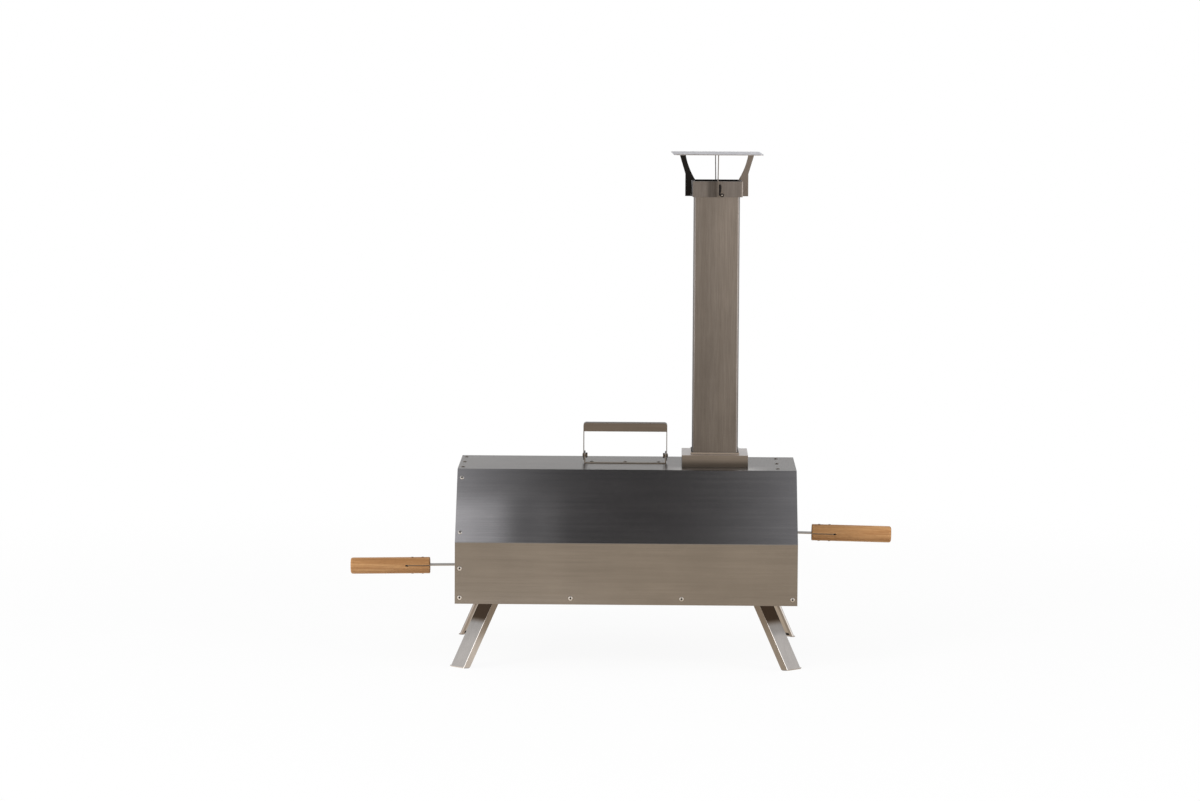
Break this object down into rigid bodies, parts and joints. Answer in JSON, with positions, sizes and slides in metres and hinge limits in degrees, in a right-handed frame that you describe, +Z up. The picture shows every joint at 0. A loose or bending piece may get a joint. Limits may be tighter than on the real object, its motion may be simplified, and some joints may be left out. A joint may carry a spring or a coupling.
{
  "type": "pizza oven",
  "caption": "Tabletop pizza oven of folded steel with a gabled body, tall square flue with a cap, carrying bail, two wooden grips and folding legs.",
  "frame": {"origin": "on the ground, under the middle of the whole oven with both grips", "axes": "+X towards the door end, +Y away from the pictured long side, +Z up"},
  "size_m": [0.8084, 0.36, 0.7487],
  "materials": {
    "wall_steel": "brushed and polished, warm grey",
    "steel": "brushed",
    "dark_steel": "dark, heat stained",
    "zinc": "bright zinc",
    "beech": "oiled beech, orange tan",
    "cordierite": "unglazed, fine grained"
  },
  "bodies": {
    "oven_body": {"outer_shell": "wall_steel", "floor_plate": "steel", "rear_panel": "steel", "front_panel": "steel", "tray_runner_near": "steel", "tray_runner_far": "steel", "stone_rail_near": "steel", "stone_rail_far": "steel", "flame_baffle": "dark_steel", "flue_socket": "steel", "bail_base": "steel", "bail_rivet_1": "zinc", "bail_rivet_2": "zinc", "bail_rivet_3": "zinc", "bail_screw_rear": "zinc", "bail_screw_front": "zinc", "bail_nut_rear": "zinc", "bail_nut_front": "zinc", "leg_bracket_front_near": "steel", "leg_bracket_front_far": "steel", "leg_bracket_rear_near": "steel", "leg_bracket_rear_far": "steel", "leg_bolt_front_near": "zinc", "leg_bolt_front_far": "zinc", "leg_bolt_rear_near": "zinc", "leg_bolt_rear_far": "zinc", "leg_nut_front_near": "zinc", "leg_nut_front_far": "zinc", "leg_nut_rear_near": "zinc", "leg_nut_rear_far": "zinc"},
    "door": {"door_plate": "steel", "door_liner": "dark_steel", "door_arm": "steel", "door_grip": "beech", "door_grip_pin_1": "dark_steel", "door_grip_pin_2": "dark_steel"},
    "tray": {"fuel_tray": "dark_steel", "tray_face": "steel", "fire_grate": "dark_steel", "tray_arm": "steel", "tray_grip": "beech", "tray_grip_pin_1": "dark_steel", "tray_grip_pin_2": "dark_steel"},
    "stone": {"baking_stone": "cordierite"},
    "flue": {"flue_tube": "wall_steel"},
    "cap": {"cap_collar": "steel", "cap_bracket_right": "steel", "cap_bracket_far": "steel", "cap_bracket_left": "dark_steel", "cap_bracket_near": "steel", "cap_plate": "zinc"},
    "bail": {"bail_handle": "dark_steel"},
    "leg_front_near": {"leg_front_near": "steel"},
    "leg_front_far": {"leg_front_far": "steel"},
    "leg_rear_near": {"leg_rear_near": "steel"},
    "leg_rear_far": {"leg_rear_far": "steel"}
  },
  "joints": [
    {"name": "door_lift_off", "type": "slide", "parent": "oven_body", "child": "door", "axis": [1, 0, 0], "range_m": [0, 0.08]},
    {"name": "tray_slide", "type": "slide", "parent": "oven_body", "child": "tray", "axis": [-1, 0, 0], "range_m": [0, 0.13]},
    {"name": "stone_lift", "type": "slide", "parent": "oven_body", "child": "stone", "axis": [0, 0, 1], "range_m": [0, 0.018]},
    {"name": "flue_lift_off", "type": "slide", "parent": "oven_body", "child": "flue", "axis": [0, 0, 1], "range_m": [0, 0.05]},
    {"name": "cap_lift_off", "type": "slide", "parent": "flue", "child": "cap", "axis": [0, 0, 1], "range_m": [0, 0.04]},
    {"name": "bail_hinge", "type": "hinge", "parent": "oven_body", "child": "bail", "pos_m": [0.00592, 0, 0.2958], "axis": [1, 0, 0], "range_deg": [-90, 90]},
    {"name": "leg_front_near_fold", "type": "hinge", "parent": "oven_body", "child": "leg_front_near", "pos_m": [0.20779, -0.1723, 0.1048], "axis": [0, 1, 0], "range_deg": [0, 113.6]},
    {"name": "leg_front_far_fold", "type": "hinge", "parent": "oven_body", "child": "leg_front_far", "pos_m": [0.20779, 0.1723, 0.1048], "axis": [0, 1, 0], "range_deg": [0, 113.6]},
    {"name": "leg_rear_near_fold", "type": "hinge", "parent": "oven_body", "child": "leg_rear_near", "pos_m": [-0.18915, -0.1723, 0.1048], "axis": [0, -1, 0], "range_deg": [0, 113.6]},
    {"name": "leg_rear_far_fold", "type": "hinge", "parent": "oven_body", "child": "leg_rear_far", "pos_m": [-0.18915, 0.1723, 0.1048], "axis": [0, -1, 0], "range_deg": [0, 113.6]}
  ]
}
